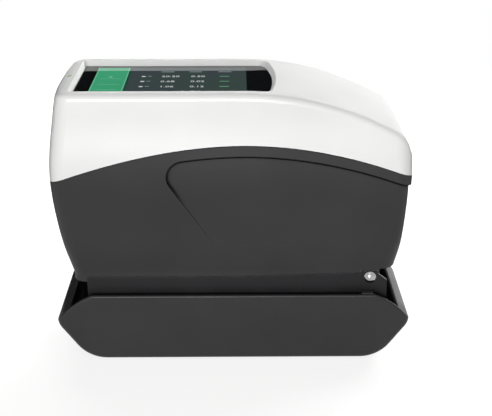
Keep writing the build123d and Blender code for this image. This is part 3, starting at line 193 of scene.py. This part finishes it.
class Shader(NodeTree):
    """A node material built up from a Principled BSDF."""

    def __init__(self, name, **inputs):
        self.material = bpy.data.materials.new(name)
        self.material.use_nodes = True
        super().__init__(self.material.node_tree)
        self.principled = self.tree.nodes["Principled BSDF"].inputs
        self.coordinates = self.node("ShaderNodeTexCoord").outputs["Object"]
        for socket, value in inputs.items():
            self.principled[socket.replace("_", " ")].default_value = value

    def noise(self, size_mm, detail=2.0, stretch=None):
        """Noise whose grains are about size_mm across; stretch scales the coordinates per axis."""
        noise = self.node("ShaderNodeTexNoise")
        noise.inputs["Scale"].default_value = 1000.0 / size_mm
        noise.inputs["Detail"].default_value = detail
        source = self.coordinates
        if stretch:
            mapping = self.node("ShaderNodeMapping")
            mapping.inputs["Scale"].default_value = stretch
            self.feed(mapping.inputs["Vector"], source)
            source = mapping.outputs["Vector"]
        self.feed(noise.inputs["Vector"], source)
        return noise.outputs["Fac"]

    def cloud(self, size_mm):
        """Soft patches of about size_mm, from 0 to 1."""
        return self.ramp(self.noise(size_mm), 0, 1)

    def vary_colour(self, source, first, second):
        self.feed(self.principled["Base Color"], self.mix(source, first, second))

    def vary_roughness(self, source, low, high):
        self.feed(self.principled["Roughness"], self.ramp(source, low, high))

    def bump(self, source, depth_mm):
        bump = self.node("ShaderNodeBump")
        bump.inputs["Distance"].default_value = depth_mm * MM
        bump.inputs["Strength"].default_value = 1.0
        self.feed(bump.inputs["Height"], source)
        self.feed(self.principled["Normal"], bump.outputs["Normal"])


def moulded(name, first, second, roughness, grain_mm, grain_depth, **inputs):
    """Moulded plastic or rubber: slight cloudiness, uneven sheen and a fine moulded texture."""
    shader = Shader(name, **inputs)
    shader.vary_colour(shader.cloud(CLOUD_SIZE), colour(first), colour(second))
    shader.vary_roughness(shader.noise(SHEEN_SIZE), roughness - SHEEN_SPREAD, roughness + SHEEN_SPREAD)
    shader.bump(shader.noise(grain_mm), grain_depth)
    return shader


def metal(name, first, second, low_roughness, high_roughness, grain_mm, stretch, depth):
    """Metal with drawn or turned lines."""
    shader = Shader(name, Metallic=1.0)
    lines = shader.noise(grain_mm, 3.0, stretch)
    shader.vary_colour(shader.ramp(lines, 0, 1), colour(first), colour(second))
    shader.vary_roughness(lines, low_roughness, high_roughness)
    shader.bump(lines, depth)
    return shader


# Plastic and rubber: two colours, roughness, then the width and depth of the grain
white_cover = moulded("white_cover", "efefee", "ebebea", 0.32, 0.5, 0.003)
dark_shell = moulded("dark_shell", "3b3b3c", "373738", 0.5, 0.35, 0.012, Specular_IOR_Level=0.12)
tray_plastic = moulded("tray_plastic", "2d2d2e", "29292a", 0.38, 0.35, 0.01, Specular_IOR_Level=0.25)
seal_rubber = moulded("seal_rubber", "171717", "131313", 0.7, 0.3, 0.01)
foot_rubber = moulded("foot_rubber", "1c1c1c", "181818", 0.85, 0.4, 0.03)
chip_black = moulded("chip_black", "1d1d1e", "19191a", 0.6, 0.2, 0.01)
bearing_plastic = moulded("bearing_plastic", "cfc8b4", "c6bfaa", 0.5, 0.4, 0.01)
bush_plastic = moulded("bush_plastic", "2a2927", "252422", 0.5, 0.4, 0.01)
battery_wrap = moulded("battery_wrap", "22479a", "1d3f8c", 0.25, 2.0, 0.02)
circuit_board = moulded("circuit_board", "15603a", "0f5230", 0.35, 0.6, 0.01)
light_pipe = moulded("light_pipe", "a9c043", "9bb638", 0.2, 0.5, 0.002, Emission_Color=colour("a9c043"),
                     Emission_Strength=0.3)
led_body = moulded("led_body", "f0e7a4", "eadf92", 0.2, 0.5, 0.002)
screen = moulded("screen", "0b0d0e", "090b0c", 0.12, 2.0, 0.0005)

# Metal: two colours, lowest and highest roughness, then the width, stretch and depth of the lines
polished_steel = metal("polished_steel", "a9a9aa", "9c9c9d", 0.12, 0.22, 0.5, (1, 1, 1), 0.001)
plain_steel = metal("plain_steel", "b9bbbd", "a9abad", 0.3, 0.42, 0.3, (1, 1, 6), 0.004)
bare_aluminium = metal("bare_aluminium", "cfd0d2", "c0c1c3", 0.28, 0.4, 0.25, (1, 1, 8), 0.004)
anodised = metal("anodised", "2a2a2c", "232325", 0.35, 0.45, 0.3, (1, 1, 1), 0.004)

# Painted shade: the dark shell's colour is made darker in its groove, where the lip above would shade it
groove_occlusion = dark_shell.node("ShaderNodeAmbientOcclusion", samples=8, only_local=True)
groove_occlusion.inputs["Distance"].default_value = CREASE_REACH * MM
enclosed = dark_shell.ramp(groove_occlusion.outputs["AO"], 1, 0, CREASE_ALL_AT, CREASE_NONE_AT)
height = dark_shell.upward(dark_shell.coordinates)
high_up = dark_shell.ramp(height, 0, 1, CREASE_NONE_BELOW * MM, CREASE_ALL_ABOVE * MM)
painted_groove_shade = dark_shell.calculate("ShaderNodeMath", "MULTIPLY", enclosed, high_up)["Value"]
wall_colour = dark_shell.principled["Base Color"].links[0].from_socket
dark_shell.vary_colour(painted_groove_shade, wall_colour, colour("3b3b3c", PAINTED_SHADE_LEVEL))

# The cradle is coated black; its upward-facing cut top edge is bare metal, and is painted pale as a highlight
# as well
cradle_steel = Shader("cradle_steel", Specular_IOR_Level=0.2)
coat = cradle_steel.mix(cradle_steel.cloud(40), colour("18181a"), colour("141416"))
height = cradle_steel.upward(cradle_steel.coordinates)
facing = cradle_steel.upward(cradle_steel.node("ShaderNodeTexCoord").outputs["Normal"])
at_top = cradle_steel.ramp(height, 0, 1, BARE_EDGE_AND_HIGHLIGHT_FROM * MM, BARE_EDGE_AND_HIGHLIGHT_FULL * MM)
facing_up = cradle_steel.ramp(facing, 0, 1, FACING_UP_FROM, FACING_UP_FULL)
bare_edge_and_highlight = cradle_steel.calculate("ShaderNodeMath", "MULTIPLY", at_top, facing_up)["Value"]
cradle_steel.vary_colour(bare_edge_and_highlight, coat, colour("a3a3a3"))
cradle_steel.feed(cradle_steel.principled["Metallic"], bare_edge_and_highlight)
cradle_steel.vary_roughness(cradle_steel.noise(14), 0.4, 0.46)
cradle_steel.bump(cradle_steel.noise(0.5), 0.006)

glass_black = Shader("black_glass", Roughness=0.04, IOR=1.45)
glass_black.vary_colour(glass_black.cloud(20), colour("121415"), colour("101213"))
glass_black.bump(glass_black.noise(8), 0.0005)
clear_glass = Shader("clear_glass", Roughness=0.02, IOR=1.5, Transmission_Weight=1.0)
clear_glass.vary_colour(clear_glass.noise(30), colour("f4f8f8"), colour("eef4f4"))
filter_glass = Shader("filter_glass", Roughness=0.03, IOR=1.5, Transmission_Weight=0.9)
filter_glass.vary_colour(filter_glass.cloud(14), colour("3d67b8"), colour("b04a42"))

BY_SLOT = {
    "white_cover": white_cover,
    "dark_shell": dark_shell,
    "tray_plastic": tray_plastic,
    "seal_rubber": seal_rubber,
    "foot_rubber": foot_rubber,
    "cradle_steel": cradle_steel,
    "polished_steel": polished_steel,
    "plain_steel": plain_steel,
    "black_glass": glass_black,
    "clear_glass": clear_glass,
    "filter_glass": filter_glass,
    "display": screen,
    "light_pipe": light_pipe,
    "circuit_board": circuit_board,
    "chip_black": chip_black,
    "led_body": led_body,
    "anodised": anodised,
    "bare_aluminium": bare_aluminium,
    "bearing_plastic": bearing_plastic,
    "battery_wrap": battery_wrap,
}
for entry in frame["record"]["subparts"]:
    shader = bush_plastic if entry["node"] == "hinge_bushes" else BY_SLOT[entry["material_slot"]]
    materials = nodes[entry["node"]].data.materials
    materials.clear()
    materials.append(shader.material)


def place(name, data, location=(0, 0, 0)):
    """A new object in the scene, at a place in mm."""
    made = bpy.data.objects.new(name, data)
    made.location = [value * MM for value in location]
    bpy.context.scene.collection.objects.link(made)
    return made


def place_shape(name, shape, material):
    """A new object from a bmesh, which is used up."""
    mesh = bpy.data.meshes.new(name)
    shape.to_mesh(mesh)
    shape.free()
    mesh.materials.append(material)
    return place(name, mesh)


# The hinge's two ends are finely turned domes
def dome():
    """Rings of the domed head, each (radius, distance out), from its seat to its top."""
    rise = DOME_HEIGHT - DOME_RIM
    ball = (DOME_RADIUS ** 2 + rise ** 2) / (2 * rise)
    steep = asin(DOME_RADIUS / ball)
    rings = [(DOME_RADIUS, DOME_SEAT)]
    for step in range(DOME_STEPS):
        angle = steep * (1 - step / DOME_STEPS)
        rings.append((ball * sin(angle), DOME_SEAT + DOME_HEIGHT - ball * (1 - cos(angle))))
    return rings


def turned(name, replaced, side, rings):
    """A form turned about the hinge from rings, each (radius, distance out); side is -1 near and 1 far."""
    shape = bmesh.new()
    previous = None
    for radius, out in rings:
        ring = []
        for step in range(TURNED_STEPS):
            angle = radians(360 * step / TURNED_STEPS)
            corner = (HINGE_X + radius * cos(angle), side * out, HINGE_Z + radius * sin(angle))
            ring.append(shape.verts.new([value * MM for value in corner]))
        if previous:
            for step in range(TURNED_STEPS):
                after = (step + 1) % TURNED_STEPS
                shape.faces.new((previous[step], previous[after], ring[after], ring[step]))
        else:
            shape.faces.new(ring)
        previous = ring
    shape.faces.new(previous)
    bmesh.ops.recalc_face_normals(shape, faces=shape.faces)
    for face in shape.faces:
        face.smooth = True
    for edge in shape.edges:
        edge.smooth = edge.calc_face_angle() < radians(SHARP_FROM)
    made = place_shape(name, shape, polished_steel.material)
    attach(made, "base")
    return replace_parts(made, replaced)


stub_end = DOME_SEAT + STUB_LENGTH
stub = [(STUB_RADIUS, -stub_end), (STUB_RADIUS, -DOME_SEAT)]
shaft = [(SHAFT_RADIUS, -DOME_SEAT), (SHAFT_RADIUS, DOME_SEAT)]
turned("pin_turned", "hinge_pin", -1, stub + shaft + dome())
turned("cap_turned", "hinge_cap", 1, [(STUB_RADIUS, stub_end), (STUB_RADIUS, DOME_SEAT)] + dome())


# What the screen shows. It lies on the glass as thin lit areas and figures, with the glass's own gloss
def lit(name, first, second, size_mm=18):
    """A lit part of the screen, slightly uneven."""
    shader = Shader(name, Roughness=0.04, IOR=1.45, Emission_Strength=LIT_STRENGTH)
    cloud = shader.cloud(size_mm)
    shader.vary_colour(cloud, colour("0b0c0d"), colour("0a0b0b"))
    shader.feed(shader.principled["Emission Color"], shader.mix(cloud, colour(first), colour(second)))
    return shader.material


lit_green = lit("lit_green", "42a67a", "3fa175")
lit_green_pale = lit("lit_green_pale", "6dbf99", "63b892")
lit_green_dark = lit("lit_green_dark", "204c3c", "1d4738")
lit_table = lit("lit_table", "3d454a", "394a43", 60)
lit_figures = lit("lit_figures", "dfe3e3", "d5dada")
lit_words = lit("lit_words", "8b9a93", "83938b")
lit_words_green = lit("lit_words_green", "6a9a7c", "5f9272")
lit_result = lit("lit_result", "9fc653", "93bc48")


def screen_area(name, low, high, lift, material, corner=0.0):
    """A thin flat area on the glass between two corners, with rounded corners, that moves with the head."""
    shape = bmesh.new()
    spots = [(low[0], low[1]), (high[0], low[1]), (high[0], high[1]), (low[0], high[1])]
    corners = [shape.verts.new((x * MM, y * MM, (GLASS_TOP + lift) * MM)) for x, y in spots]
    shape.faces.new(corners)
    if corner:
        bmesh.ops.bevel(shape, geom=list(shape.verts), offset=corner * MM, segments=LIT_CORNER_STEPS,
                        affect="VERTICES")
    raised = bmesh.ops.extrude_face_region(shape, geom=list(shape.faces)[:1])
    moved = [item for item in raised["geom"] if isinstance(item, bmesh.types.BMVert)]
    bmesh.ops.translate(shape, verts=moved, vec=(0, 0, -lift * MM * LIT_DEPTH_SHARE))
    bmesh.ops.recalc_face_normals(shape, faces=shape.faces)
    made = place_shape(name, shape, material)
    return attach(made, "head")


def figures(name, lines, start, top_row, height, material):
    """Lines of figures that start at X start, the first with its middle at Y top_row."""
    size = height / FIGURE_SHARE
    curve = bpy.data.curves.new(name, "FONT")
    curve.body = "\n".join(lines)
    curve.size = size * MM
    curve.space_line = ROW_STEP / size
    curve.extrude = FIGURE_DEPTH * MM
    curve.resolution_u = FIGURE_CURVE_STEPS
    curve.materials.append(material)
    made = place(name, curve, (start, top_row - height / 2, GLASS_TOP + FIGURE_LIFT))
    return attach(made, "head")


def across(name, start, end, lift, material):
    """A lit area from X start to X end, over the whole width of the screen."""
    return screen_area(name, (start, -LIT_HALF_WIDTH), (end, LIT_HALF_WIDTH), lift, material)


across("screen_green", GREEN_FRONT, GREEN_REAR, LIT_LIFT, lit_green)
across("screen_green_edge", GREEN_REAR, GREEN_REAR + GREEN_BORDER, LIT_LIFT, lit_green_dark)
across("screen_table", GREEN_REAR + GREEN_BORDER, TABLE_REAR, LIT_LIFT, lit_table)

# Pale outline, cross lines and a middle mark on the green area
across("green_line_front", GREEN_FRONT, GREEN_FRONT + OUTLINE_WIDTH, FIGURE_LIFT, lit_green_pale)
across("green_line_rear", GREEN_REAR - OUTLINE_WIDTH, GREEN_REAR, FIGURE_LIFT, lit_green_pale)
for index, row in enumerate(CROSS_LINES):
    screen_area(f"green_line_{index}", (GREEN_FRONT + CROSS_LINE_INSET, row),
                (GREEN_REAR - CROSS_LINE_INSET, row + CROSS_LINE_WIDTH), FIGURE_LIFT, lit_green_pale)
screen_area("green_mark", (-64.6, 5.6), (-62.8, 9.2), FIGURE_LIFT, lit_green_pale, 0.5)

# Bars of one row: name, X of both ends, edges from the row's middle, material and rounding of the corners
ROW_BARS = (
    ("name", -47.6, -45.4, -0.9, 0.9, lit_figures, 0.4),
    ("unit", -44.6, -42.2, 0.1, 1.0, lit_words, 0.3),
    ("state", -7.0, -1.6, -0.7, 0.7, lit_words_green, 0.5),
)

# Rows and columns of figures; bars stand for the words
for row in range(ROWS):
    middle = FIRST_ROW - ROW_STEP * row
    for word, start, end, below, above, material, corner in ROW_BARS:
        low = (start, middle + below)
        high = (end, middle + above)
        screen_area(f"word_{word}_{row}", low, high, FIGURE_LIFT, material, corner)
for index, (start, end) in enumerate(HEADINGS):
    screen_area(f"word_head_{index}", (start, HEADING_LOW), (end, HEADING_HIGH), FIGURE_LIFT, lit_words, 0.5)
figures("figures_first", ["20.20", "0.68", "1.06"], FIRST_COLUMN, FIRST_ROW, FIGURE_HEIGHT, lit_figures)
figures("figures_second", ["0.50", "0.02", "0.12"], SECOND_COLUMN, FIRST_ROW, FIGURE_HEIGHT, lit_figures)
figures("figures_result", ["0.51"], *RESULT_AT, RESULT_HEIGHT, lit_figures)
screen_area("result_mark", (-8.1, -26.0), (-1.1, -22.2), FIGURE_LIFT, lit_result, 0.6)


# Floor, light and camera
def plane(name, centre, size, material, rotation=(0, 0, 0)):
    """A flat rectangle of the studio."""
    half = [value * MM / 2 for value in size]
    mesh = bpy.data.meshes.new(name)
    corners = [(-half[0], -half[1], 0), (half[0], -half[1], 0), (half[0], half[1], 0), (-half[0], half[1], 0)]
    mesh.from_pydata(corners, [], [(0, 1, 2, 3)])
    mesh.materials.append(material)
    made = place(name, mesh, centre)
    made.rotation_euler = rotation
    return made


# The floor looks white where it is seen, keeps the shadow, and throws back less light than it shows
floor_shader = Shader("floor_paper", Roughness=0.95, Specular_IOR_Level=0.0, Emission_Color=(1, 1, 1, 1))
floor_seen = floor_shader.seen_directly()
floor_shader.vary_colour(floor_seen, colour("6c6c6b"), colour("a2a2a1"))
distance = floor_shader.calculate("ShaderNodeVectorMath", "LENGTH", floor_shader.coordinates)["Value"]
glow = floor_shader.ramp(distance, FLOOR_GLOW, 1.0, GLOW_RISES_FROM * MM, GLOW_FULL_FROM * MM)
floor_shader.feed(floor_shader.principled["Emission Strength"], floor_shader.ramp(floor_seen, 0, glow, 0, 1))
floor = plane("floor", (0, 0, 0), (FLOOR_SIZE, FLOOR_SIZE), floor_shader.material)

# Dark cards, seen only in gloss and through glass: one behind for the screen, and one past each rounded end
card_shader = Shader("card_cloth", Roughness=1.0, Specular_IOR_Level=0.0)
card_shader.vary_colour(card_shader.noise(80), colour("0c0c0c"), colour("090909"))
CARDS = (
    ("behind", (0, 900, 420), (2600, 520)),
    ("front_end", (-290, 60, 150), (380, 300)),
    ("rear_end", (310, 60, 150), (320, 300)),
)
for name, centre, size in CARDS:
    card = plane(f"card_{name}", centre, size, card_shader.material, (radians(90), 0, 0))
    card.visible_camera = False
    card.visible_diffuse = False
    card.visible_shadow = False


def area_light(name, location, aim, size, power, mirrored=True):
    """A soft lamp; where mirrored is False, gloss doesn't show it, so the screen has no white patch."""
    data = bpy.data.lights.new(name, "AREA")
    data.shape = "RECTANGLE"
    data.size, data.size_y = (value * MM for value in size)
    data.energy = power
    lamp = place(name, data, location)
    away = lamp.location - Vector([value * MM for value in aim])
    lamp.rotation_euler = away.to_track_quat("Z", "Y").to_euler()
    lamp.visible_glossy = mirrored


area_light("front", (-120, -1000, 240), (0, 0, 80), (300, 300), 8.2)
area_light("front_high", (0, -800, 850), (0, 0, 80), (300, 300), 0.5)
area_light("back", (0, 700, 560), (0, 0, 100), (900, 300), 5.9, mirrored=False)
area_light("back_right", (480, 620, 470), (20, 0, 100), (700, 360), 8.2, mirrored=False)
area_light("right_high", (650, 200, 550), (40, 0, 80), (400, 300), 0.2)

# The world is white where it is seen. On the object its strength is AMBIENT, shared out by direction
world = bpy.data.worlds.new("studio")
world.use_nodes = True
bpy.context.scene.world = world
sky = NodeTree(world.node_tree)
direction = sky.node("ShaderNodeTexCoord").outputs["Generated"]
squared = sky.calculate("ShaderNodeVectorMath", "MULTIPLY", direction, direction)["Vector"]
unseen = sky.calculate("ShaderNodeVectorMath", "DOT_PRODUCT", squared, AMBIENT)["Value"]
background = world.node_tree.nodes["Background"].inputs
background["Color"].default_value = (1, 1, 1, 1)
sky.feed(background["Strength"], sky.ramp(sky.seen_directly(), unseen, 1.0, 0, 1))

camera_data = bpy.data.cameras.new("camera")
camera_data.sensor_width = CAMERA_SENSOR
camera_data.lens = CAMERA_LENS
camera_data.clip_start = CAMERA_NEAREST * MM
camera_data.clip_end = CAMERA_FARTHEST * MM
camera = place("camera", camera_data, CAMERA_AT)
camera.rotation_euler = (radians(90 - CAMERA_PITCH), 0, radians(-CAMERA_TURN))
bpy.context.scene.camera = camera
bpy.context.scene.view_settings.view_transform = "Standard"
